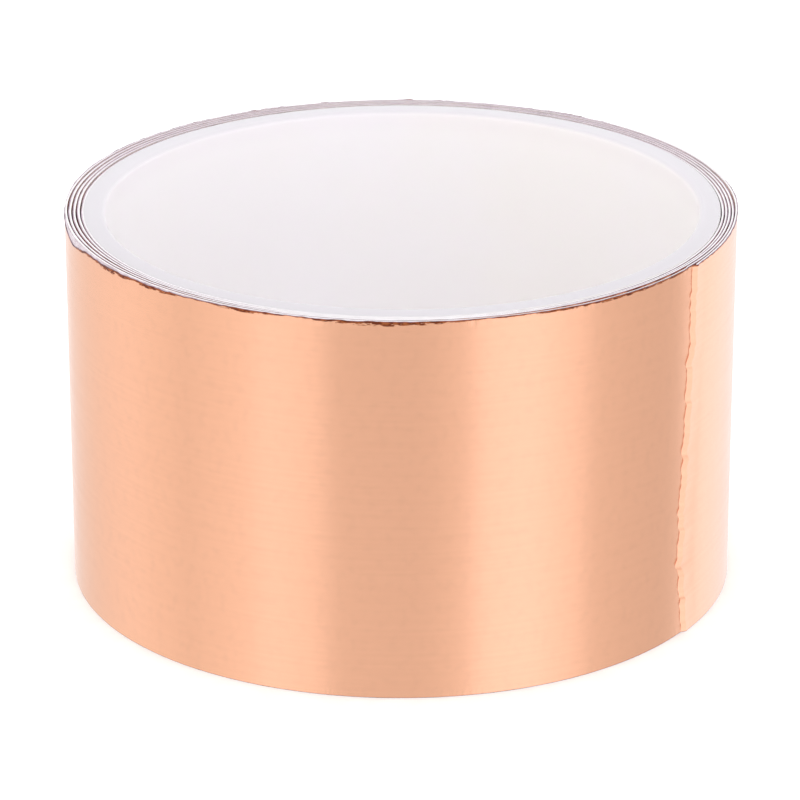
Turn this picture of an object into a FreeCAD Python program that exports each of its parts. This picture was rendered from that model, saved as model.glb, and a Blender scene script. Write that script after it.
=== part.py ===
import FreeCAD, Part
import math
import os

# A roll of copper foil tape, lying on one end. Millimetres and degrees. The origin is in the
# middle of the winding, in the plane that the roll rests on, and +Z runs up.
#
# The tape is a laminate of three layers: copper foil on the outside, a coat of adhesive on the
# back of the foil, and a release liner towards the core. It winds outwards clockwise as seen
# from above. The last stretch is divided into links that lift off the roll one after another.

# Driving dimensions: the tape
TAPE_WIDTH = 50.0
FOIL_THICKNESS = 0.08
ADHESIVE_THICKNESS = 0.05
LINER_THICKNESS = 0.12

# Driving dimensions: the winding
TURNS = 4.9
TIGHT_GAP = 0.03         # air between turns on the side that the tape's inner end is on
LOOSE_GAP = 0.39         # air between turns on the opposite side
FREE_END_ANGLE = -34.0   # where the cut end lies round the roll, from +X

# Driving dimensions: the core
CORE_BORE_RADIUS = 38.1  # a three inch bore
CORE_WALL = 2.8
CORE_SHIFT = 0.75        # from the middle of the winding, towards its tight side
CORE_BORE_LIP = 0.7      # rounding at the mouths of the bore
CORE_OUTER_LIP = 0.4     # rounding at the core's outer edges

# Driving dimensions: the double-sided strip that holds the tape's first end on the core
STARTER_THICKNESS = 0.15
STARTER_LENGTH = 12.0
STARTER_MARGIN = 2.0     # from the strip to each end of the core

# Driving dimensions: the free end
END_LINKS = 6
LINK_LENGTH = 6.8        # along the tape, between one fold line and the next
FOLD_CLEARANCE = 0.05    # between the cut faces of neighbouring links

# Sizes that follow
UP = FreeCAD.Vector(0, 0, 1)
HALF_TURN = 180.0
core_outer_radius = CORE_BORE_RADIUS + CORE_WALL
tape_thickness = LINER_THICKNESS + ADHESIVE_THICKNESS + FOIL_THICKNESS
tight_pitch = tape_thickness + TIGHT_GAP
loose_pitch = tape_thickness + LOOSE_GAP
first_turn_radius = core_outer_radius + STARTER_THICKNESS
tight_start = first_turn_radius + CORE_SHIFT
loose_start = first_turn_radius - CORE_SHIFT
last_half_turn = int(2 * TURNS)
outer_radius = first_turn_radius + tape_thickness + (
    tight_pitch * ((last_half_turn + 1) // 2) + loose_pitch * (last_half_turn // 2)
) / 2
wound_angle = 360.0 * TURNS
inner_end_angle = FREE_END_ANGLE + wound_angle
link_angle = math.degrees(LINK_LENGTH / outer_radius)
fold_angle = math.degrees(FOLD_CLEARANCE / outer_radius)
lifting_angle = END_LINKS * link_angle

# Each layer's two faces, as distances outwards from the liner's face towards the core
LAYERS = {
    "liner": (0.0, LINER_THICKNESS),
    "adhesive": (LINER_THICKNESS, LINER_THICKNESS + ADHESIVE_THICKNESS),
    "foil": (LINER_THICKNESS + ADHESIVE_THICKNESS, tape_thickness),
}
WOUND_NAMES = {"liner": "release_liner", "adhesive": "adhesive_coat", "foil": "copper_foil"}


def direction(turned):
    """The outward direction where the tape has turned by this angle from its inner end."""
    heading = math.radians(inner_end_angle - turned)
    return FreeCAD.Vector(math.cos(heading), math.sin(heading), 0)


def half_turn(number):
    """Centre and liner-face radius of a half turn, counted from the inner end.

    The spiral is made of half circles that run tangent into each other on the line through
    its tight and loose sides. The first one runs round the core. Each turn lies one pitch
    further out than the last on either side, and the two pitches differ, so the centres move
    along that line as well.
    """
    tight_side = tight_start + tight_pitch * ((number + 1) // 2)
    loose_side = loose_start + loose_pitch * (number // 2)
    centre = direction(0) * ((tight_side - loose_side) / 2)
    return centre, (tight_side + loose_side) / 2


def core_centre():
    """Where the core's axis stands."""
    return direction(0) * CORE_SHIFT


def point_on_tape(turned, offset, number):
    """A point of half turn `number`, `offset` outwards from the liner's face."""
    centre, radius = half_turn(number)
    return centre + direction(turned) * (radius + offset)


def arc_on_tape(start, end, offset, number):
    """The arc of one half turn between two turned angles."""
    centre, radius = half_turn(number)
    return Part.makeCircle(
        radius + offset, centre, UP, inner_end_angle - end, inner_end_angle - start
    )


def stretches(start, end):
    """Splits a stretch of tape where one half turn meets the next."""
    number = int(start // HALF_TURN)
    while start < end:
        stop = min(end, (number + 1) * HALF_TURN)
        yield start, stop, number
        start = stop
        number += 1


def layer_solid(start, end, inner, outer):
    """One layer of the tape, from one turned angle to another, over the tape's whole width."""
    parts = list(stretches(start, end))
    first = parts[0][2]
    last = parts[-1][2]
    edges = [arc_on_tape(a, b, inner, number) for a, b, number in parts]
    edges += [arc_on_tape(a, b, outer, number) for a, b, number in parts]
    for turned, number in ((start, first), (end, last)):
        edges.append(
            Part.makeLine(
                point_on_tape(turned, inner, number), point_on_tape(turned, outer, number)
            )
        )
    outline = Part.Wire(Part.__sortEdges__(edges))
    return Part.Face(outline).extrude(UP * TAPE_WIDTH)


def core():
    """The plastic tube, with rounded edges at both ends."""
    outside = Part.makeCylinder(core_outer_radius, TAPE_WIDTH)
    tube = outside.cut(Part.makeCylinder(CORE_BORE_RADIUS, TAPE_WIDTH))
    for radius, lip in ((CORE_BORE_RADIUS, CORE_BORE_LIP), (core_outer_radius, CORE_OUTER_LIP)):
        rims = [edge for edge in tube.Edges if is_rim(edge, radius)]
        tube = tube.makeFillet(lip, rims)
    tube.translate(core_centre())
    return tube


def is_rim(edge, radius):
    """Whether an edge is a circle of this radius."""
    return isinstance(edge.Curve, Part.Circle) and abs(edge.Curve.Radius - radius) < 1e-6


def starter_strip():
    """The strip between the core and the first stretch of liner, touching both."""
    strip_angle = math.degrees(STARTER_LENGTH / first_turn_radius)
    tape_side = arc_on_tape(0, strip_angle, 0, 0)
    ends = [point_on_tape(turned, 0, 0) for turned in (0, strip_angle)]
    spokes = [(end - core_centre()).normalize() for end in ends]
    feet = [core_centre() + spoke * core_outer_radius for spoke in spokes]
    headings = [math.degrees(math.atan2(spoke.y, spoke.x)) for spoke in spokes]
    core_side = Part.makeCircle(
        core_outer_radius, core_centre(), UP, headings[1], headings[0]
    )
    edges = [tape_side, core_side]
    edges += [Part.makeLine(foot, end) for foot, end in zip(feet, ends)]
    outline = Part.Wire(Part.__sortEdges__(edges))
    strip = Part.Face(outline).extrude(UP * (TAPE_WIDTH - 2 * STARTER_MARGIN))
    strip.translate(UP * STARTER_MARGIN)
    return strip


def wound_layers():
    """The three layers of the stretch that stays on the roll."""
    end = wound_angle - lifting_angle - fold_angle / 2
    return {
        WOUND_NAMES[layer]: layer_solid(0, end, *faces) for layer, faces in LAYERS.items()
    }


def end_links():
    """The three layers of each link of the free end; link 1 folds against the roll."""
    solids = {}
    for link in range(END_LINKS):
        start = wound_angle - lifting_angle + link * link_angle
        end = start + link_angle - fold_angle / 2
        for layer, faces in LAYERS.items():
            name = "end_%s_%d" % (layer, link + 1)
            solids[name] = layer_solid(start + fold_angle / 2, end, *faces)
    return solids


def main():
    os.makedirs("parts", exist_ok=True)
    nodes = {"core": core(), "starter_strip": starter_strip()}
    nodes.update(wound_layers())
    nodes.update(end_links())
    for name, shape in nodes.items():
        if not shape.isValid() or len(shape.Solids) != 1:
            raise ValueError("%s is not one valid solid" % name)
        shape.exportStep("parts/%s.step" % name)
    tape_length = math.radians(wound_angle) * (first_turn_radius + outer_radius) / 2
    print("outer diameter %.2f, tape length %.0f" % (2 * outer_radius, tape_length))


main()
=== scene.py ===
import math

import bpy
import numpy as np
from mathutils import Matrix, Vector, noise


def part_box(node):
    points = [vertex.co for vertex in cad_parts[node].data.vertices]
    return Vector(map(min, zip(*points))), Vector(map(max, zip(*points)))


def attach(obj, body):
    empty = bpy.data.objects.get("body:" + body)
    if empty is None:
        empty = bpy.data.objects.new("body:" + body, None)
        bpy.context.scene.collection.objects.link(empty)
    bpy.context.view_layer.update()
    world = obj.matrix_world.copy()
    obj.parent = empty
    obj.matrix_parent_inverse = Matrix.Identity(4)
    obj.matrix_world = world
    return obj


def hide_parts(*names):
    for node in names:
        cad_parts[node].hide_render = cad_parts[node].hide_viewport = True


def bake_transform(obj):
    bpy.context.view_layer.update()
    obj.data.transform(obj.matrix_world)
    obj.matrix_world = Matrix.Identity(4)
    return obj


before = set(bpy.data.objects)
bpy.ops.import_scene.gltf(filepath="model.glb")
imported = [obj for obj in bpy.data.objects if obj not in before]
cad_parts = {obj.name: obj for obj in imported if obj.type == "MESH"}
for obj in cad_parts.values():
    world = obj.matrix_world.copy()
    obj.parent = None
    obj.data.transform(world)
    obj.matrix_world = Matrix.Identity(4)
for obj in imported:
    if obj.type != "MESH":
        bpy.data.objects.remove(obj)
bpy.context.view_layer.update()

bl_info = {
    "name": "Copper Foil Tape Roll",
    "version": (1, 0, 0),
    "blender": (4, 5, 0),
    "location": "3D View > Sidebar > Tape Roll",
    "description": "Models a loosely wound roll of copper foil tape on a plastic core",
    "category": "Mesh",
}

MM = 0.001
MICRON = 0.000001
ROLL = "roll"
TAPE_MAP = "tape"        # the tape's own UV map: metres along the tape, metres up its width
# The smear's depth also sets how far from the slit edge the copper is painted darker brown: painted
# shade on the bent burr
SMEAR_SHADE = "smear_shade_depth"          # attribute: how deep the slit edge of the foil is smeared there
LEAST_SMEAR_SHADE = 0.13 * MM  # depth of the smear all round the roll
# Heading and half width in degrees of each stretch of deeper smear, and its depth
SMEAR_SHADES = (
    (-157, 8, 0.32 * MM), (-146, 9, 0.55 * MM), (-135, 9, 0.42 * MM), (-116, 8, 0.30 * MM),
    (-92, 17, 0.50 * MM), (-52, 30, 0.26 * MM), (172, 16, 0.22 * MM), (90, 60, 0.1 * MM),
)
SUNK = (-45, 36)         # heading and half width of the stretch where the outer turn sank
LAYERS = ("liner", "adhesive", "foil")
WOUND_NODES = {"liner": "release_liner", "adhesive": "adhesive_coat", "foil": "copper_foil"}
# Headings in degrees where the outer turn's upper edge starts to be torn, is torn deepest and
# is whole again, for the foil's own tear and for the liner that it bares
TORN = (-190, -163, -156)
BARED = (-176, -158, -112)
FOOT = (41 * MM, 45 * MM)   # from the middle: where the floor's glow starts and where it is full
CORNER = math.radians(40)   # two faces that meet at more than this show an edge
CREASE = math.radians(30)   # the same where the torn end bends down
EDGE_BAND = 4 * MM       # how far in from a slit edge its uneven height reaches
BURR_BAND = 0.7 * MM     # the same for the foil's burr
SWOLLEN_BAND = 2 * MM    # the same for the swelling of its upper edge


def linear(hex_colour):
    """A colour written as an sRGB hex value, as Blender's linear red, green, blue and alpha."""
    shares = [int(hex_colour[i:i + 2], 16) / 255 for i in (1, 3, 5)]
    return tuple(s / 12.92 if s <= 0.04045 else ((s + 0.055) / 1.055) ** 2.4 for s in shares) + (1,)


def length_property(name, description, millimetres):
    return bpy.props.FloatProperty(
        name=name, description=description, default=millimetres * MM,
        unit="LENGTH", subtype="DISTANCE", precision=5,
    )


def angle_property(name, description, degrees):
    return bpy.props.FloatProperty(
        name=name, description=description, default=math.radians(degrees),
        unit="ROTATION", subtype="ANGLE",
    )


def colour_property(name, description, hex_colour):
    return bpy.props.FloatVectorProperty(
        name=name, description=description, default=linear(hex_colour),
        size=4, min=0, max=1, subtype="COLOR",
    )


# Sizes and colours

class TapeSizes(bpy.types.PropertyGroup):
    """The laminate and how it is wound."""
    width: length_property("Width", "Width of the tape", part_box("copper_foil")[1].z / MM)
    foil: length_property("Foil", "Thickness of the copper foil", 0.08)
    adhesive: length_property("Adhesive", "Thickness of the adhesive coat", 0.05)
    liner: length_property("Liner", "Thickness of the release liner", 0.12)
    turns: bpy.props.FloatProperty(
        name="Turns", description="How often the tape goes round the core", default=4.9, min=2)
    tight_gap: length_property("Tight gap", "Air between turns where they lie tight", 0.03)
    loose_gap: length_property("Loose gap", "Air between turns on the opposite side", 0.39)
    free_end: angle_property("Free end", "Where the cut end lies, from +X", -34)
    link: length_property("Link", "Length of tape from one fold line to the next", 6.8)
    links: bpy.props.IntProperty(
        name="Links", description="Fold lines in the free end", default=6, min=1)


class WearSizes(bpy.types.PropertyGroup):
    """What slitting, handling and loose winding did to the tape."""
    end_reach: length_property("Reach", "How far the torn foil lies past the tape's end", -0.8)
    end_belly: length_property("Belly", "How far the torn end bulges out below its middle", 1.5)
    end_tear: length_property("Tear", "Unevenness of the torn end", 0.62)
    end_lift: length_property("End lift", "How far the end stands off before it bends down", 0.1)
    end_lifted: length_property("Lifted", "Length of tape that stands off", 2.5)
    end_bare: length_property("End bare", "Foil past the liner's end, bent down to the roll", 0.6)
    end_press: length_property("End press", "How deep the tip is pressed onto the roll", 0.06)
    edge_step: length_property("Edge step", "How far the edges of turns differ in height", 0.14)
    edge_proud: length_property("Edge proud", "How far the liner stands above the foil", 0.07)
    edge_burr: length_property("Edge burr", "Raggedness of the foil's slit edge", 0.12)
    sunk: length_property("Sunk", "How far the outer turn sank below the next, right in front",
                          0.14)
    dip: length_property("Dip", "Deepest tear in the outer turn's upper foil edge", 1.2)
    bare_liner: length_property("Bare liner", "Liner that shows beside the deepest tear", 0.4)
    swell: bpy.props.FloatProperty(
        name="Swell", description="Share of the air gap that swollen edges fill", default=0.24,
        min=0, max=0.3, subtype="FACTOR")
    settle: bpy.props.FloatProperty(
        name="Settle", description="Share of the starter's thickness that the turns sink past it",
        default=0.97, min=0, max=1, subtype="FACTOR")
    wave: bpy.props.FloatProperty(
        name="Waves", description="Share of the air gap that the turns wander in", default=0.25,
        min=0, max=0.5, subtype="FACTOR")


class CoreSizes(bpy.types.PropertyGroup):
    """The plastic tube."""
    bore: length_property("Bore radius", "Radius of the bore", 38.1)
    wall: length_property("Wall", "Thickness of the wall", 2.8)
    shift: length_property("Shift", "From the winding's middle to the core's axis", 0.75)
    starter: length_property("Starter", "Thickness of the double-sided strip on the core", 0.15)
    bore_lip: length_property("Bore lip", "Rounding at the mouths of the bore", 0.7)
    outer_lip: length_property("Outer lip", "Rounding at the outer edges", 0.15)


class Finishes(bpy.types.PropertyGroup):
    """Colours of the materials."""
    copper: colour_property("Copper", "Bright rolled copper", "#FBBE9C")
    # Painted shade: the cut edge's dark mauve grey stands for the shadowed gaps between the turns
    # as well as the foil's own edge
    cut_edge_and_gap_shade: colour_property("Cut edge", "Slit edge of the foil", "#A2889A")
    # Painted shade: this brown, and the darker one mixed into it, stand for the shade on the bent
    # burr beside the slit edge
    burr: colour_property("Burr", "Smeared, tarnished copper beside the slit edge", "#B0663F")
    # Painted shade: the adhesive's mauve grey stands for the shadowed gaps between the turns
    adhesive: colour_property("Adhesive", "Adhesive coat", "#DCCFD6")
    liner: colour_property("Liner", "Coated release paper", "#FBF9FA")
    plastic: colour_property("Plastic", "Milky core", "#FAF6FA")
    # Painted shade: this grey is the rims' colour in front, where they are painted darkest
    sawn: colour_property("Sawn ends", "The core's sawn ends", "#D3CED3")
    starter: colour_property("Starter", "Double-sided tissue tape", "#E6E2D4")
    floor: colour_property("Floor", "Background paper", "#FEFEFE")


class StageSettings(bpy.types.PropertyGroup):
    """Floor, light and camera."""
    floor_size: length_property("Floor", "Side of the square floor", 6000)
    camera_distance: length_property("Distance", "Camera to the point it looks at", 575.8)
    camera_height: length_property("Aim height", "Height of the point it looks at", 22.5)
    camera_elevation: angle_property("Elevation", "Camera's angle above the floor", 21.84)
    focal_length: bpy.props.FloatProperty(
        name="Focal length", description="Focal length of the lens", default=197.7,
        unit="CAMERA")
    light: bpy.props.FloatProperty(
        name="Light", description="Brightness of the white tent", default=1.43, min=0)
    fall: bpy.props.FloatProperty(
        name="Fall", description="How much the mirrored panels in front brighten low down",
        default=0.08, min=0)
    glow: bpy.props.FloatProperty(
        name="Glow", description="How brightly the floor itself glows round the roll",
        default=0.2, min=0)
    key: bpy.props.FloatProperty(
        name="Key light", description="Power of the soft panel above the camera", default=0.8,
        min=0, unit="POWER")


# The line that the tape follows

class Winding:
    """The spiral of the tape: half circles that run tangent into each other.

    Distances along the tape are measured on the liner's core-side face, from the inner end.
    """

    def __init__(self, tape, core):
        self.tape = tape
        self.thickness = tape.foil + tape.adhesive + tape.liner
        tight_pitch = self.thickness + tape.tight_gap
        loose_pitch = self.thickness + tape.loose_gap
        first_turn = core.bore + core.wall + core.starter
        numbers = np.arange(math.ceil(2 * tape.turns) + 1)
        tight = first_turn + core.shift + tight_pitch * ((numbers + 1) // 2)
        loose = first_turn - core.shift + loose_pitch * (numbers // 2)
        self.radii = (tight + loose) / 2
        self.shifts = (tight - loose) / 2
        self.starts = np.concatenate(([0], np.cumsum(math.pi * self.radii)[:-1]))
        self.end_turned = math.tau * tape.turns
        self.inner_heading = tape.free_end + self.end_turned
        self.outer_radius = self.radii[int(2 * tape.turns)] + self.thickness

    def distance(self, turned):
        """How far along the tape it has turned by this angle."""
        number = int(turned // math.pi)
        return self.starts[number] + (turned - number * math.pi) * self.radii[number]

    def place(self, distances, offsets):
        """Turned angles, headings and X, Y of points, `offsets` outwards from the liner's face."""
        numbers = np.searchsorted(self.starts, distances, side="right") - 1
        numbers = np.clip(numbers, 0, len(self.starts) - 1)
        turned = numbers * math.pi + (distances - self.starts[numbers]) / self.radii[numbers]
        headings = self.inner_heading - turned
        reach = self.radii[numbers] + offsets
        x = self.shifts[numbers] * math.cos(self.inner_heading) + reach * np.cos(headings)
        y = self.shifts[numbers] * math.sin(self.inner_heading) + reach * np.sin(headings)
        return turned, headings, x, y

    def is_outer(self, turned):
        """Whether the tape is on its outermost turn there."""
        return turned > self.end_turned - math.tau

    def gap(self, turned):
        """Air between this turn and the next."""
        middle = (self.tape.tight_gap + self.tape.loose_gap) / 2
        swing = (self.tape.tight_gap - self.tape.loose_gap) / 2
        return middle + swing * np.cos(turned)

    def fold(self, number):
        """Distance along the tape of a fold line; halves lie in the middle of a link."""
        lifting = self.tape.links * self.tape.link / self.outer_radius
        return self.distance(
            self.end_turned - lifting + (number - 1) * self.tape.link / self.outer_radius
        )

    def point(self, distance):
        """The point in space on the tape's outer face, half way up its width."""
        x, y = self.place(np.array([distance]), self.thickness)[2:]
        return x[0], y[0], self.tape.width / 2

    def faces(self, layer):
        """A layer's inner and outer face, outwards from the liner's core-side face."""
        liner = self.tape.liner
        return {
            "liner": (0, liner),
            "adhesive": (liner, liner + self.tape.adhesive),
            "foil": (liner + self.tape.adhesive, self.thickness),
        }[layer]


def sizes():
    """The scene's sizes and the winding that follows from them."""
    scene = bpy.context.scene
    return scene.roll_tape, scene.roll_wear, Winding(scene.roll_tape, scene.roll_core)


def wobble(places, wavelength, seed):
    """Smooth unevenness from about -1 to 1 along a line of places, the same on every run."""
    steps, index = np.unique(np.round(places / MICRON).astype(int), return_inverse=True)
    row = seed * 7.31 + 0.37
    values = [noise.noise(Vector((step * MICRON / wavelength, row, 0.5))) for step in steps]
    return 1.4 * np.array(values)[index.reshape(np.shape(places))]


def bump(headings, middle, half_width):
    """1 at a heading in degrees, falling smoothly to 0 on both sides."""
    away = np.degrees(np.angle(np.exp(1j * (headings - math.radians(middle)))))
    return np.cos(np.clip(away / half_width, -1, 1) * math.pi / 2) ** 2


def notch(headings, start, deepest, end):
    """1 at a heading in degrees, falling in straight lines to 0 at two others."""
    away = np.degrees(np.angle(np.exp(1j * (headings - math.radians(deepest)))))
    return np.interp(away, (start - deepest, 0, end - deepest), (0, 1, 0))


def beside(distances, reach):
    """1 at an edge, falling in a straight line to 0 at this reach from it."""
    return np.clip(1 - distances / reach, 0, 1)


# Work on meshes

def deselect():
    for thing in bpy.context.selected_objects:
        thing.select_set(False)


def coordinates(piece):
    flat = np.empty(len(piece.data.vertices) * 3)
    piece.data.vertices.foreach_get("co", flat)
    return flat.reshape(-1, 3)


def set_coordinates(piece, points):
    piece.data.vertices.foreach_set("co", points.ravel())
    piece.data.update()


def apply_modifier(piece, kind, **settings):
    modifier = piece.modifiers.new(kind.title(), kind)
    for name, value in settings.items():
        setattr(modifier, name, value)
    bpy.ops.object.modifier_apply(modifier=modifier.name)


def flat_strip(name, start, end, column, rows, thickness, even_rows):
    """A stretch of one layer laid out flat: its length along X, outer face towards +Y."""
    tape = bpy.context.scene.roll_tape
    deselect()
    bpy.ops.mesh.primitive_grid_add(
        x_subdivisions=max(2, round((end - start) / column)), y_subdivisions=rows, size=1,
        location=((start + end) / 2, 0, tape.width / 2), rotation=(-math.pi / 2, 0, 0),
    )
    piece = bpy.context.object
    piece.name = piece.data.name = name
    piece.scale = (end - start, tape.width, 1)
    bpy.ops.object.transform_apply(location=True, rotation=True, scale=True)
    if not even_rows:
        crowd_rows(piece, tape.width)
    apply_modifier(piece, "SOLIDIFY", thickness=thickness, offset=-1)
    bpy.ops.object.mode_set(mode="EDIT")
    bpy.ops.mesh.select_all(action="SELECT")
    bpy.ops.mesh.normals_make_consistent(inside=False)
    bpy.ops.object.mode_set(mode="OBJECT")
    bpy.ops.object.shade_smooth_by_angle(angle=CORNER)
    return piece


def crowd_rows(piece, width):
    """Moves the rows of a strip towards its two edges, where its shape is finest."""
    points = coordinates(piece)
    share = 2 * points[:, 2] / width - 1
    points[:, 2] = width / 2 * (1 + np.sign(share) * (1 - (1 - np.abs(share)) ** 2.4))
    set_coordinates(piece, points)


def map_tape(piece):
    """Gives a flat strip its UV map, in metres along the tape and up its width."""
    for old in list(piece.data.uv_layers):
        piece.data.uv_layers.remove(old)
    layer = piece.data.uv_layers.new(name=TAPE_MAP)
    corners = np.empty(len(piece.data.loops), dtype=int)
    piece.data.loops.foreach_get("vertex_index", corners)
    layer.data.foreach_set("uv", coordinates(piece)[corners][:, (0, 2)].ravel())


def torn_line(height, winding, wear):
    """How far the torn end lies past the tape's nominal end, at heights up its width."""
    share = np.clip(1 - height / winding.tape.width, 0, 1)
    line = wear.end_reach + wear.end_belly * np.sin(math.pi * share ** 2.2)
    line += wear.end_tear * (1.3 * np.abs(wobble(height, 3.1 * MM, 3)) - 0.4)
    return line + wear.end_tear * 0.7 * wobble(height, 0.9 * MM, 4)


def tear_end(points, winding, wear, layer):
    """Tears the cut end of a strip that is still flat; liner and adhesive end a little short."""
    reach = 3 * MM
    height = points[:, 2]
    into_reach = points[:, 0] - winding.distance(winding.end_turned) + reach
    share = np.clip(into_reach / (reach - wear.end_bare), 0, 1)
    cut = torn_line(height, winding, wear)
    if layer != "foil":
        cut -= wear.end_bare
    points[:, 0] += share * cut


def edge_heights(points, turned, headings, winding, wear, layer):
    """How far points move up or down, so that slit edges are uneven and turns telescope."""
    width = winding.tape.width
    length = points[:, 0]
    height = points[:, 2]
    outer = winding.is_outer(turned)
    step = wear.edge_step * (0.5 + 0.5 * wobble(length, 55 * MM, 1))
    near_top = beside(width - height, EDGE_BAND) ** 2
    near_bottom = beside(height, EDGE_BAND) ** 2
    rise = -near_top * step + near_bottom * 0.4 * step
    rise -= near_top * np.where(outer, wear.sunk, 0) * bump(headings, *SUNK)
    if layer != "liner":
        torn = wear.dip * notch(headings, *TORN) + wear.bare_liner * (
            notch(headings, *BARED) * (1 + 0.3 * wobble(length, 9 * MM, 5))
            + 0.5 * bump(headings, 30, 28)
        )
        bared = 1 if layer == "foil" else 0.15
        # The liner stands proudest in front and at the back
        proud = wear.edge_proud * (0.15 + 0.85 * (bump(headings, -98, 32) + bump(headings, 90, 60)))
        rise -= near_top * (proud + bared * np.where(outer, torn, 0))
    if layer == "foil":
        close_to_top = beside(width - height, BURR_BAND)
        close_to_bottom = beside(height, BURR_BAND)
        rag = 0.6 * wobble(length, 1.7 * MM, 6) + 0.5 * wobble(length, 0.6 * MM, 7)
        rough = 0.4 + 0.6 * (bump(headings, -120, 60) + bump(headings, 95, 70))
        rag *= np.where(outer, 1, 0.35)
        rise += wear.edge_burr * rag * (rough * close_to_top + 0.15 * close_to_bottom)
    return rise


def radial_shifts(points, turned, headings, winding, wear, layer):
    """How far points move outwards: loose turns wander, edges swell and burr, the end lifts."""
    tape = winding.tape
    length = points[:, 0]
    height = points[:, 2]
    outer = winding.is_outer(turned)
    gap = winding.gap(turned)
    wander = 0.6 * wobble(length, 31 * MM, 11) + 0.4 * wobble(length, 9 * MM, 12)
    wander *= np.clip(turned / math.tau - 0.5, 0, 1)
    # At the left the turns were knocked inwards, and beside that they spring out
    kink = np.where(outer, 0, 1) * (bump(headings, 180, 5) - 0.6 * bump(headings, 172, 5))
    out = gap * wear.wave * (wander - 0.5 * kink) - settled(turned, headings, winding)
    # At the right the outer turn's upper edge flares a little
    near_top = beside(tape.width - height, 1.2 * MM) ** 2
    out += np.where(outer, 1, 0) * near_top * 0.12 * MM * bump(headings, 6, 14)
    swollen = wear.swell * gap * beside(tape.width - height, SWOLLEN_BAND)
    inner_face = points[:, 1] < -0.5 * (winding.faces(layer)[1] - winding.faces(layer)[0])
    if layer == "foil":
        lip = beside(tape.width - height, 0.35 * MM)
        rag = wobble(length, 0.8 * MM, 13) + 0.6 * wobble(length, 0.35 * MM, 14)
        out += swollen + np.where(outer, 1, 0.3) * lip * wear.edge_burr * 0.3 * rag
    if layer == "adhesive":
        out += np.where(inner_face, 0, swollen)
    if layer == "liner":
        out -= np.where(inner_face, swollen, 0)
    end = winding.distance(winding.end_turned) + torn_line(height, winding, wear)
    away = np.where(length > end - 4 * MM, end - length, 4 * MM)
    standing = beside(away - wear.end_bare, wear.end_lifted)
    out += wear.end_lift * standing ** 2
    if layer == "foil":
        below = tape.liner + tape.adhesive + gap + wear.end_lift + wear.end_press
        thinner = np.where(inner_face, 0, 0.9 * tape.foil)
        out -= (below + thinner) * beside(away, wear.end_bare)
    return out


def settled(turned, headings, winding):
    """How far the turns sink towards the core past the starter strip, the first turn most."""
    scene = bpy.context.scene
    slack = scene.roll_wear.settle * scene.roll_core.starter * (1 - bump(headings, -78, 32))
    return slack * np.clip(1.2 * (1 - turned / winding.end_turned), 0, 1)


def wind(piece, layer, torn):
    """Winds a flat strip onto the roll."""
    tape, wear, winding = sizes()
    map_tape(piece)
    points = coordinates(piece)
    if torn:
        tear_end(points, winding, wear, layer)
    outer_face = winding.faces(layer)[1]
    turned, headings, x, y = winding.place(points[:, 0], outer_face + points[:, 1])
    rise = edge_heights(points, turned, headings, winding, wear, layer)
    out = radial_shifts(points, turned, headings, winding, wear, layer)
    wound = np.column_stack((
        x + out * np.cos(headings), y + out * np.sin(headings), points[:, 2] + rise,
    ))
    set_coordinates(piece, wound)
    if torn:
        bpy.ops.object.shade_smooth_by_angle(angle=CREASE)
    outer = winding.is_outer(turned)
    # Painted shade: how far from the upper slit edge the copper is painted darker brown, deepest at
    # the listed headings
    smear_shade_depth = LEAST_SMEAR_SHADE + sum(
        depth * bump(headings, middle, half_width) for middle, half_width, depth in SMEAR_SHADES)
    smear_shade_depth = np.where(outer, smear_shade_depth, wear.sunk * 1.4 * bump(headings, *SUNK))
    smear_shade_depth = np.where(points[:, 2] > tape.width / 2, smear_shade_depth, 0)
    attribute = piece.data.attributes.new(SMEAR_SHADE, "FLOAT", "POINT")
    attribute.data.foreach_set("value", smear_shade_depth.astype(np.float32))


def strip(name, layer, start, end, column, rows, torn=False):
    """One wound stretch of one layer, with its material and slot."""
    inner, outer = sizes()[2].faces(layer)
    piece = flat_strip(name, start, end, column, rows, outer - inner, torn)
    wind(piece, layer, torn)
    piece.data.materials.append(layer_material(layer))
    return piece


# Materials

def add(tree, kind, inputs=None, **settings):
    """Adds a node with its settings; each input is a number, a colour or an output to link."""
    node = tree.nodes.new(kind)
    for name, value in settings.items():
        setattr(node, name, value)
    for socket, value in (inputs or {}).items():
        if isinstance(value, bpy.types.NodeSocket):
            tree.links.new(value, node.inputs[socket])
        else:
            node.inputs[socket].default_value = value
    return node


def new_material(name, **sockets):
    """A material with one Principled shader, its named sockets set."""
    material = bpy.data.materials.new(name)
    material.use_nodes = True
    shader = material.node_tree.nodes["Principled BSDF"]
    for socket, value in sockets.items():
        shader.inputs[socket.replace("_", " ")].default_value = value
    return material, material.node_tree, shader


def tape_noise(tree, along, across, detail=2.0, roughness=0.5):
    """Noise in the tape's own map, its grain `along` by `across` in millimetres."""
    place = add(tree, "ShaderNodeUVMap", uv_map=TAPE_MAP)
    scaled = add(
        tree, "ShaderNodeMapping",
        {"Vector": place.outputs[0], "Scale": (1 / (along * MM), 1 / (across * MM), 1)},
    )
    grain = add(
        tree, "ShaderNodeTexNoise",
        {"Vector": scaled.outputs[0], "Scale": 1.0, "Detail": detail, "Roughness": roughness},
        noise_dimensions="2D",
    )
    return grain.outputs["Fac"]


def share_of(tree, value, low, high, to_low=0.0, to_high=1.0):
    """Maps a value from one range smoothly onto another."""
    return add(
        tree, "ShaderNodeMapRange",
        {"Value": value, "From Min": low, "From Max": high, "To Min": to_low, "To Max": to_high},
        interpolation_type="SMOOTHSTEP",
    ).outputs[0]


def mixed(tree, share, first, second):
    """A mix of two colours."""
    return add(
        tree, "ShaderNodeMix", {"Factor": share, 6: first, 7: second}, data_type="RGBA",
    ).outputs[2]


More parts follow.
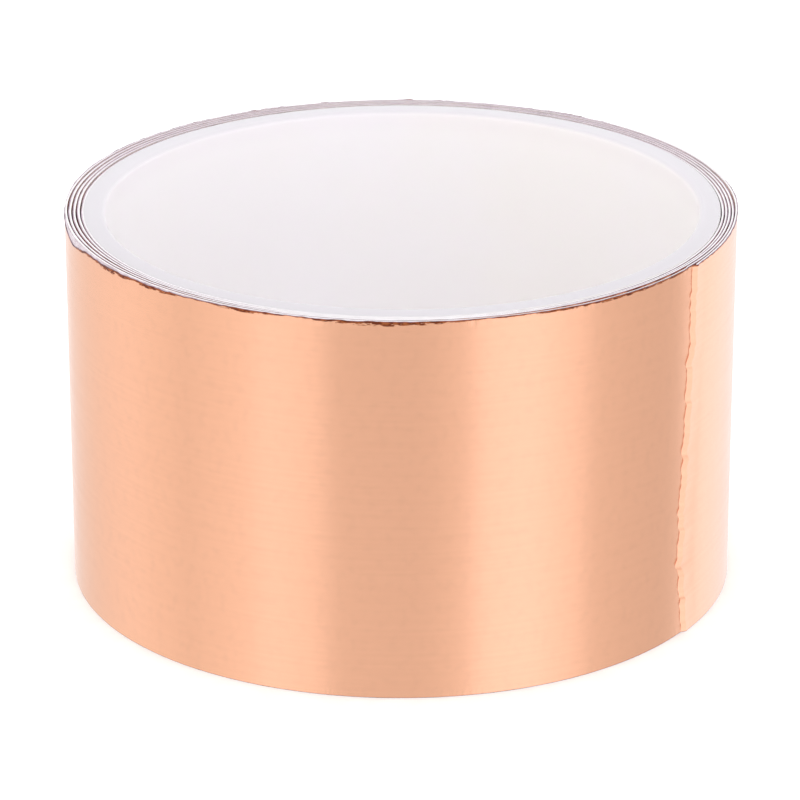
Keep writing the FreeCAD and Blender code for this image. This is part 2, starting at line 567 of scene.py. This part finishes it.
def edge_distance(tree, width):
    """Distance in metres from the nearer slit edge of the tape."""
    place = add(tree, "ShaderNodeUVMap", uv_map=TAPE_MAP)
    height = add(tree, "ShaderNodeSeparateXYZ", {"Vector": place.outputs[0]}).outputs["Y"]
    other = add(tree, "ShaderNodeMath", {0: width, 1: height}, operation="SUBTRACT").outputs[0]
    return add(tree, "ShaderNodeMath", {0: height, 1: other}, operation="MINIMUM").outputs[0]


def rolled_copper_foil():
    """Soft copper rolled to foil: satin, with faint lines along the tape and small crinkles.

    The slit edges carry burrs. Their thin dark lines round the roll are painted shade: the edge
    face is painted dark mauve grey for the shadowed gaps between the turns, and the copper beside
    it is painted darker brown for the shade on the bent burr.
    """
    finishes = bpy.context.scene.roll_finishes
    width = bpy.context.scene.roll_tape.width
    material, tree, shader = new_material("rolled_copper_foil", Metallic=1.0)
    lines = tape_noise(tree, 30, 0.45, 3)
    crinkles = tape_noise(tree, 1.3, 1.6, 3, 0.6)
    streaks = tape_noise(tree, 1.4, 40, 2)
    dents = tape_noise(tree, 12, 17, 1)
    away = edge_distance(tree, width)
    smear_shade_depth = add(tree, "ShaderNodeAttribute", attribute_name=SMEAR_SHADE).outputs["Fac"]
    ragged = share_of(tree, tape_noise(tree, 1.5, 0.5, 3, 0.65), 0.3, 0.6, 0.3, 1.0)
    reach = add(tree, "ShaderNodeMath", {0: smear_shade_depth, 1: ragged}, operation="MULTIPLY").outputs[0]
    uneven = add(tree, "ShaderNodeMath", {0: away, 1: reach}, operation="SUBTRACT").outputs[0]
    # Painted shade: within the smear's ragged depth the copper is painted darker brown and made
    # rougher
    burred_and_shaded = share_of(tree, uneven, -0.06 * MM, 0.10 * MM, 1.0, 0.0)
    # Painted shade: the edge face and a sliver beside it take the dark mauve grey of the shadowed
    # gaps between the turns
    cut = share_of(tree, away, 0.0, 0.03 * MM, 1.0, 0.0)
    sheet = mixed(tree, share_of(tree, lines, 0.3, 0.7, 0.0, 0.05), finishes.copper,
                  linear("#E9A584"))
    sheet = mixed(tree, share_of(tree, crinkles, 0.45, 0.75, 0.0, 0.10), sheet,
                  linear("#E0A78B"))
    burr_shade_colour = mixed(tree, share_of(tree, tape_noise(tree, 0.9, 0.4, 2), 0.4, 0.6), finishes.burr,
                  linear("#7A3E2A"))
    sheet_with_burr_shade = mixed(tree, burred_and_shaded, sheet, burr_shade_colour)
    edge = mixed(tree, share_of(tree, tape_noise(tree, 5, 50, 3), 0.45, 0.7), finishes.cut_edge_and_gap_shade,
                 linear("#47333C"))
    tree.links.new(mixed(tree, cut, sheet_with_burr_shade, edge), shader.inputs["Base Color"])
    satin = share_of(tree, lines, 0.3, 0.7, 0.18, 0.21)
    rough = add(tree, "ShaderNodeMix", {"Factor": burred_and_shaded, 2: satin, 3: 0.45}).outputs[0]
    tree.links.new(rough, shader.inputs["Roughness"])
    normal = None
    creases = tape_noise(tree, 0.5, 3, 2)
    beside_edge = share_of(tree, away, 0.1 * MM, 1.6 * MM, 1.0, 0.0)
    crimp = add(tree, "ShaderNodeMath", {0: creases, 1: beside_edge}, operation="MULTIPLY")
    for height, depth in ((dents, 45), (streaks, 0.9), (crinkles, 4), (lines, 0.12),
                          (crimp.outputs[0], 14)):
        inputs = {"Height": height, "Distance": depth * MICRON, "Strength": 1.0}
        if normal:
            inputs["Normal"] = normal
        normal = add(tree, "ShaderNodeBump", inputs).outputs[0]
    tree.links.new(normal, shader.inputs["Normal"])
    return material


def acrylic_adhesive():
    """Pressure-sensitive acrylic, clear and tacky; painted mauve grey, darker in patches, as
    painted shade of the narrow gaps between the turns.
    """
    finishes = bpy.context.scene.roll_finishes
    material, tree, shader = new_material(
        "acrylic_pressure_sensitive_adhesive", Roughness=0.28, IOR=1.47)
    # Painted shade: darker mauve patches for the shadowed gaps between the turns
    gap_shade_patches = share_of(tree, tape_noise(tree, 1.6, 0.8, 3), 0.35, 0.75)
    tree.links.new(mixed(tree, gap_shade_patches, finishes.adhesive, linear("#BBA6AE")),
                   shader.inputs["Base Color"])
    ripple = add(tree, "ShaderNodeBump", {
        "Height": tape_noise(tree, 4, 3), "Distance": 8 * MICRON, "Strength": 1.0})
    tree.links.new(ripple.outputs[0], shader.inputs["Normal"])
    return material


def silicone_coated_paper():
    """Bleached glassine with a silicone coat: white and smooth, with a faint cloud of fibres.

    At the back of the roll its slit edge is painted mauve grey: painted shade of the narrow gap
    beside it.
    """
    finishes = bpy.context.scene.roll_finishes
    material, tree, shader = new_material("silicone_coated_paper", Roughness=0.42, IOR=1.46)
    cloud = share_of(tree, tape_noise(tree, 2.4, 1.6, 4, 0.6), 0.35, 0.7)
    sheet = mixed(tree, cloud, finishes.liner, linear("#F1EEF0"))
    away = edge_distance(tree, bpy.context.scene.roll_tape.width)
    cut = share_of(tree, away, 0.0, 0.03 * MM, 1.0, 0.0)
    # Painted shade: the slit edge turns mauve grey towards the back of the roll
    at_back = share_of(tree, object_axis(tree, "Y"), 0.0, 30 * MM)
    back_edge_shade = add(tree, "ShaderNodeMath", {0: cut, 1: at_back}, operation="MULTIPLY").outputs[0]
    tree.links.new(mixed(tree, back_edge_shade, sheet, linear("#D3C6D1")), shader.inputs["Base Color"])
    fibres = add(tree, "ShaderNodeBump", {
        "Height": tape_noise(tree, 0.8, 0.3, 3), "Distance": 3 * MICRON, "Strength": 1.0})
    tree.links.new(fibres.outputs[0], shader.inputs["Normal"])
    return material


def layer_material(layer):
    """The material of a layer, made once."""
    makers = {
        "foil": ("rolled_copper_foil", rolled_copper_foil),
        "adhesive": ("acrylic_pressure_sensitive_adhesive", acrylic_adhesive),
        "liner": ("silicone_coated_paper", silicone_coated_paper),
    }
    name, maker = makers[layer]
    return bpy.data.materials.get(name) or maker()


def object_noise(tree, size, detail=2.0):
    """Noise in the object's own coordinates, its grain `size` in millimetres."""
    place = add(tree, "ShaderNodeTexCoord")
    grain = add(tree, "ShaderNodeTexNoise", {
        "Vector": place.outputs["Object"], "Scale": 1 / (size * MM), "Detail": detail})
    return grain.outputs["Fac"]


def object_axis(tree, axis):
    """One of the object's own coordinates."""
    place = add(tree, "ShaderNodeTexCoord").outputs["Object"]
    return add(tree, "ShaderNodeSeparateXYZ", {"Vector": place}).outputs[axis]


def extruded_polyethylene():
    """Natural polyethylene tube: milky and a little see-through, with a soft sheen.

    Its sawn ends read a little darker. In front they are painted darker still, which is painted
    shade, and the top of the bore wall is painted a little towards their grey, also painted shade.
    """
    finishes = bpy.context.scene.roll_finishes
    material, tree, shader = new_material(
        "extruded_polyethylene", Roughness=0.32, IOR=1.54, Subsurface_Weight=0.35,
        Subsurface_Radius=(1.0, 0.9, 1.0), Subsurface_Scale=1.6 * MM)
    cloud = share_of(tree, object_noise(tree, 12, 3), 0.35, 0.65, -0.15, 0.15)
    # Painted light: the wall is painted warmer towards +X, for warm light on that side of the bore;
    # the cloud is the plastic's own uneven tone
    warm_light_share = share_of(tree, object_axis(tree, "X"), -12 * MM, 22 * MM)
    warm_light_and_cloud = add(tree, "ShaderNodeMath", {0: warm_light_share, 1: cloud}, operation="ADD", use_clamp=True)
    wall = mixed(tree, warm_light_and_cloud.outputs[0], finishes.plastic, linear("#FAF5F3"))
    face = add(tree, "ShaderNodeNewGeometry").outputs["True Normal"]
    upright = add(tree, "ShaderNodeSeparateXYZ", {"Vector": face}).outputs["Z"]
    tilt = add(tree, "ShaderNodeMath", {0: upright}, operation="ABSOLUTE").outputs[0]
    sawn = share_of(tree, tilt, 0.2, 1.0)
    # Painted shade: the rims are painted darker in front than at the back
    rim_shade_fades_back = share_of(tree, object_axis(tree, "Y"), -35 * MM, 25 * MM)
    rim_with_front_shade = mixed(tree, rim_shade_fades_back, finishes.sawn, linear("#DBD7DC"))
    width = bpy.context.scene.roll_tape.width
    # Painted shade: the top 4 mm of the bore wall is painted a fifth of the way towards the rims'
    # grey
    mouth_shade = share_of(tree, object_axis(tree, "Z"), width - 4 * MM, width, 0.0, 0.2)
    shaded = mixed(tree, mouth_shade, wall, rim_with_front_shade)
    tree.links.new(mixed(tree, sawn, shaded, rim_with_front_shade), shader.inputs["Base Color"])
    skin = add(tree, "ShaderNodeBump", {
        "Height": object_noise(tree, 1.5, 3), "Distance": 6 * MICRON, "Strength": 1.0})
    tree.links.new(skin.outputs[0], shader.inputs["Normal"])
    return material


def tissue_tape():
    """Tissue carrier with adhesive on both sides: thin, matt and slightly yellow."""
    finishes = bpy.context.scene.roll_finishes
    material, tree, shader = new_material("double_sided_tissue_tape", Roughness=0.6, IOR=1.47)
    fibres = share_of(tree, object_noise(tree, 0.7, 4), 0.3, 0.7)
    tree.links.new(mixed(tree, fibres, finishes.starter, linear("#D2CDBD")),
                   shader.inputs["Base Color"])
    weave = add(tree, "ShaderNodeBump", {
        "Height": fibres, "Distance": 20 * MICRON, "Strength": 1.0})
    tree.links.new(weave.outputs[0], shader.inputs["Normal"])
    return material


def background_paper():
    """Seamless white background paper: matt, with a faint grain.

    Painted light: round the roll the paper itself glows. The glow starts at the roll's foot and
    keeps the roll's own shade off the white.
    """
    finishes = bpy.context.scene.roll_finishes
    material, tree, shader = new_material("white_background_paper", Roughness=0.9)
    grain = share_of(tree, object_noise(tree, 3, 3), 0.3, 0.7)
    tree.links.new(mixed(tree, grain, finishes.floor, linear("#F8F8F8")),
                   shader.inputs["Base Color"])
    place = add(tree, "ShaderNodeTexCoord").outputs["Object"]
    reach = add(tree, "ShaderNodeVectorMath", {0: place}, operation="LENGTH").outputs["Value"]
    shader.inputs["Emission Color"].default_value = finishes.floor
    glow = share_of(tree, reach, *FOOT, 0.0, bpy.context.scene.roll_stage.glow)
    tree.links.new(glow, shader.inputs["Emission Strength"])
    return material


# Operators: one for each piece or group of like pieces

class ROLL_OT_core(bpy.types.Operator):
    """Model the plastic core: a wall section with rounded lips, spun round the core's axis"""
    bl_idname = "tape_roll.core"
    bl_label = "Plastic core"

    def execute(self, context):
        core = context.scene.roll_core
        width = context.scene.roll_tape.width
        winding = sizes()[2]
        centre = Vector((
            core.shift * math.cos(winding.inner_heading),
            core.shift * math.sin(winding.inner_heading), 0,
        ))
        middle = core.bore + core.wall / 2
        deselect()
        bpy.ops.mesh.primitive_plane_add(
            size=1, location=centre + Vector((middle, 0, width / 2)),
            rotation=(math.pi / 2, 0, 0),
        )
        piece = context.object
        piece.name = piece.data.name = "plastic_core"
        piece.scale = (core.wall, width, 1)
        bpy.ops.object.transform_apply(location=True, rotation=True, scale=True)
        for side, lip in ((-1, core.bore_lip), (1, core.outer_lip)):
            self.round_corners(piece, centre.x + middle, side, lip)
        bpy.ops.object.mode_set(mode="EDIT")
        bpy.ops.mesh.select_all(action="SELECT")
        bpy.ops.mesh.delete(type="ONLY_FACE")
        bpy.ops.mesh.select_all(action="SELECT")
        bpy.ops.mesh.spin(steps=360, angle=math.tau, center=centre, axis=(0, 0, 1))
        bpy.ops.mesh.select_all(action="SELECT")
        bpy.ops.mesh.remove_doubles(threshold=0.001 * MM)
        bpy.ops.mesh.normals_make_consistent(inside=False)
        bpy.ops.object.mode_set(mode="OBJECT")
        bpy.ops.object.shade_smooth_by_angle(angle=CORNER)
        piece.data.materials.append(extruded_polyethylene())
        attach(piece, ROLL)
        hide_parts("core")
        return {"FINISHED"}

    def round_corners(self, piece, middle, side, lip):
        """Bevels the two corners of the section on one side of its middle."""
        bpy.ops.object.mode_set(mode="EDIT")
        bpy.ops.mesh.select_mode(type="VERT")
        bpy.ops.mesh.select_all(action="DESELECT")
        bpy.ops.object.mode_set(mode="OBJECT")
        corners = sorted(piece.data.vertices, key=lambda v: side * (middle - v.co.x))[:2]
        for corner in corners:
            corner.select = True
        bpy.ops.object.mode_set(mode="EDIT")
        bpy.ops.mesh.bevel(offset=lip, segments=6, affect="VERTICES", profile=0.5)
        bpy.ops.object.mode_set(mode="OBJECT")


class ROLL_OT_starter(bpy.types.Operator):
    """Give the double-sided strip on the core its tissue tape material"""
    bl_idname = "tape_roll.starter"
    bl_label = "Starter strip"

    def execute(self, context):
        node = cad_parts["starter_strip"]
        node.data.materials.clear()
        node.data.materials.append(tissue_tape())
        return {"FINISHED"}


class ROLL_OT_wound_tape(bpy.types.Operator):
    """Wind the three layers of the tape that stay on the roll"""
    bl_idname = "tape_roll.wound_tape"
    bl_label = "Wound tape"

    def execute(self, context):
        winding = sizes()[2]
        overlap = math.radians(10)
        inner_end = winding.distance(winding.end_turned - math.tau - overlap)
        fold = winding.fold(1)
        for layer in LAYERS:
            name = WOUND_NODES[layer]
            column = 0.25 * MM if layer == "foil" else 0.5 * MM
            inner = strip(name + "_inner_turns", layer, 0, inner_end, 1.0 * MM, 14)
            outer = strip(name + "_outer_turn", layer, inner_end, fold, column, 22)
            for piece in (inner, outer):
                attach(piece, ROLL)
                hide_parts(name)
        return {"FINISHED"}


class ROLL_OT_free_end(bpy.types.Operator):
    """Model the free end: each layer in wound stretches that meet half way between fold lines, the
    last one torn; the liner's last two meet at the last fold line
    """
    bl_idname = "tape_roll.free_end"
    bl_label = "Free end"

    def execute(self, context):
        tape, wear, winding = sizes()
        end = winding.distance(winding.end_turned)
        for layer in LAYERS:
            for link in range(1, tape.links + 1):
                last = link == tape.links
                start = winding.fold(1) if link == 1 else winding.fold(link - 0.5)
                stop = end if last else winding.fold(link + 0.5)
                if layer == "liner" and link == tape.links - 1:
                    stop = winding.fold(tape.links)
                if layer == "liner" and last:
                    start = winding.fold(tape.links)
                rows = 150 if last else 22
                column = wear.end_bare / 3 if last else 0.25 * MM
                piece = strip(
                    "%s_bend_%d" % (layer, link), layer, start, stop, column, rows, last)
                winding.point(start)
                winding.point(winding.fold(link + 0.5))
                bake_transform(piece)
                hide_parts("end_%s_%d" % (layer, link))
        return {"FINISHED"}


class ROLL_OT_stage(bpy.types.Operator):
    """Set up the floor, the white surroundings and the camera"""
    bl_idname = "tape_roll.stage"
    bl_label = "Stage"

    def execute(self, context):
        stage = context.scene.roll_stage
        self.floor(stage)
        self.surroundings(context.scene, stage)
        self.key_light(stage)
        self.camera(context.scene, stage)
        context.scene.view_settings.view_transform = "Standard"
        return {"FINISHED"}

    def floor(self, stage):
        """A pale sheet, which the foil doesn't mirror: it would cut its reflections off low."""
        deselect()
        bpy.ops.mesh.primitive_plane_add(size=stage.floor_size)
        sheet = bpy.context.object
        sheet.name = "floor"
        sheet.data.materials.append(background_paper())
        sheet.visible_glossy = False

    def surroundings(self, scene, stage):
        """An even white tent, and in what the gloss mirrors its soft panels.

        Each pair is a heading in degrees, from +X towards +Y, and how bright a panel is there.
        """
        levels = (
            (-180, 1.0), (-168, 0.92), (-158, 0.98), (-146, 1.03), (-136, 1.15), (-121, 1.08),
            (-111, 0.83), (-84, 0.80), (-70, 0.90), (-60, 1.20), (-45, 1.24), (-30, 1.12),
            (-17, 0.87), (0, 0.81), (12, 0.78), (21, 0.80), (29, 1.12), (36, 1.30), (50, 1.24),
            (66, 1.14), (80, 1.11), (92, 1.12), (104, 1.09), (114, 0.98), (130, 0.97),
            (165, 1.06), (180, 1.0),
        )
        world = bpy.data.worlds.new("white_tent")
        world.use_nodes = True
        tree = world.node_tree
        place = add(tree, "ShaderNodeTexCoord")
        parts = add(tree, "ShaderNodeSeparateXYZ", {"Vector": place.outputs["Generated"]})
        heading = add(
            tree, "ShaderNodeMath", {0: parts.outputs["Y"], 1: parts.outputs["X"]},
            operation="ARCTAN2",
        )
        position = add(
            tree, "ShaderNodeMapRange",
            {"Value": heading.outputs[0], "From Min": -math.pi, "From Max": math.pi},
        )
        ramp = add(tree, "ShaderNodeValToRGB", {"Fac": position.outputs[0]})
        full = 1.2 * max(level for angle, level in levels)
        stops = ramp.color_ramp.elements
        ramp.color_ramp.interpolation = "EASE"
        while len(stops) < len(levels):
            stops.new(0.5)
        for stop, (angle, level) in zip(stops, levels):
            stop.position = (angle + 180) / 360
            cool = max(level - 1, 0)
            tint = (1, 1 + 0.12 * cool, 1 + 0.40 * cool)
            stop.color = [level * share / full for share in tint] + [1]
        low = add(tree, "ShaderNodeMapRange", {"Value": parts.outputs["Z"], "From Min": -0.35,
                                               "From Max": -0.44, "To Max": -stage.fall})
        tilt = add(tree, "ShaderNodeMath", {0: low.outputs[0], 1: parts.outputs["Y"], 2: 1.0},
                   operation="MULTIPLY_ADD")
        shaded = add(tree, "ShaderNodeVectorMath", {0: ramp.outputs["Color"],
                                                    "Scale": tilt.outputs[0]}, operation="SCALE")
        panels = tree.nodes["Background"]
        tree.links.new(shaded.outputs["Vector"], panels.inputs["Color"])
        panels.inputs["Strength"].default_value = full
        tent = add(tree, "ShaderNodeBackground", {"Strength": stage.light})
        mirrored = add(tree, "ShaderNodeLightPath").outputs["Is Glossy Ray"]
        both = add(tree, "ShaderNodeMixShader", {0: mirrored, 1: tent.outputs[0],
                                                2: panels.outputs[0]})
        tree.links.new(both.outputs[0], tree.nodes["World Output"].inputs["Surface"])
        scene.world = world

    def key_light(self, stage):
        """A soft panel above the camera, which lights the far side of the bore."""
        slope = math.radians(40)
        bpy.ops.object.light_add(
            type="AREA", location=(0, -math.cos(slope), math.sin(slope)),
            rotation=(math.pi / 2 - slope, 0, 0),
        )
        panel = bpy.context.object
        panel.name = "key_light"
        panel.data.size = 500 * MM
        panel.data.energy = stage.key
        panel.visible_glossy = False

    def camera(self, scene, stage):
        """Stands in front of the roll and looks down at it."""
        back = stage.camera_distance * math.cos(stage.camera_elevation)
        up = stage.camera_distance * math.sin(stage.camera_elevation)
        bpy.ops.object.camera_add(
            location=(0, -back, stage.camera_height + up),
            rotation=(math.pi / 2 - stage.camera_elevation, 0, 0),
        )
        camera = bpy.context.object
        camera.name = "camera"
        camera.data.lens = stage.focal_length
        camera.data.sensor_width = 36
        camera.data.clip_start = 10 * MM
        scene.camera = camera


class ROLL_PT_panel(bpy.types.Panel):
    """Lists the steps in the 3D view's sidebar"""
    bl_idname = "ROLL_PT_panel"
    bl_label = "Tape Roll"
    bl_space_type = "VIEW_3D"
    bl_region_type = "UI"
    bl_category = "Tape Roll"

    def draw(self, context):
        for operator in OPERATORS:
            self.layout.operator(operator.bl_idname)
        for name in GROUPS:
            group = getattr(context.scene, name)
            box = self.layout.box()
            for prop in group.bl_rna.properties:
                if prop.identifier not in ("rna_type", "name"):
                    box.prop(group, prop.identifier)


GROUPS = {
    "roll_tape": TapeSizes,
    "roll_wear": WearSizes,
    "roll_core": CoreSizes,
    "roll_finishes": Finishes,
    "roll_stage": StageSettings,
}
OPERATORS = (ROLL_OT_core, ROLL_OT_starter, ROLL_OT_wound_tape, ROLL_OT_free_end, ROLL_OT_stage)


def register():
    for group in GROUPS.values():
        bpy.utils.register_class(group)
    for name, group in GROUPS.items():
        setattr(bpy.types.Scene, name, bpy.props.PointerProperty(type=group))
    for operator in OPERATORS:
        bpy.utils.register_class(operator)
    bpy.utils.register_class(ROLL_PT_panel)


def unregister():
    bpy.utils.unregister_class(ROLL_PT_panel)
    for operator in reversed(OPERATORS):
        bpy.utils.unregister_class(operator)
    for name, group in GROUPS.items():
        delattr(bpy.types.Scene, name)
        bpy.utils.unregister_class(group)


def main():
    register()
    bpy.ops.tape_roll.core()
    bpy.ops.tape_roll.starter()
    bpy.ops.tape_roll.wound_tape()
    bpy.ops.tape_roll.free_end()
    bpy.ops.tape_roll.stage()


if __name__ == "__main__":
    main()
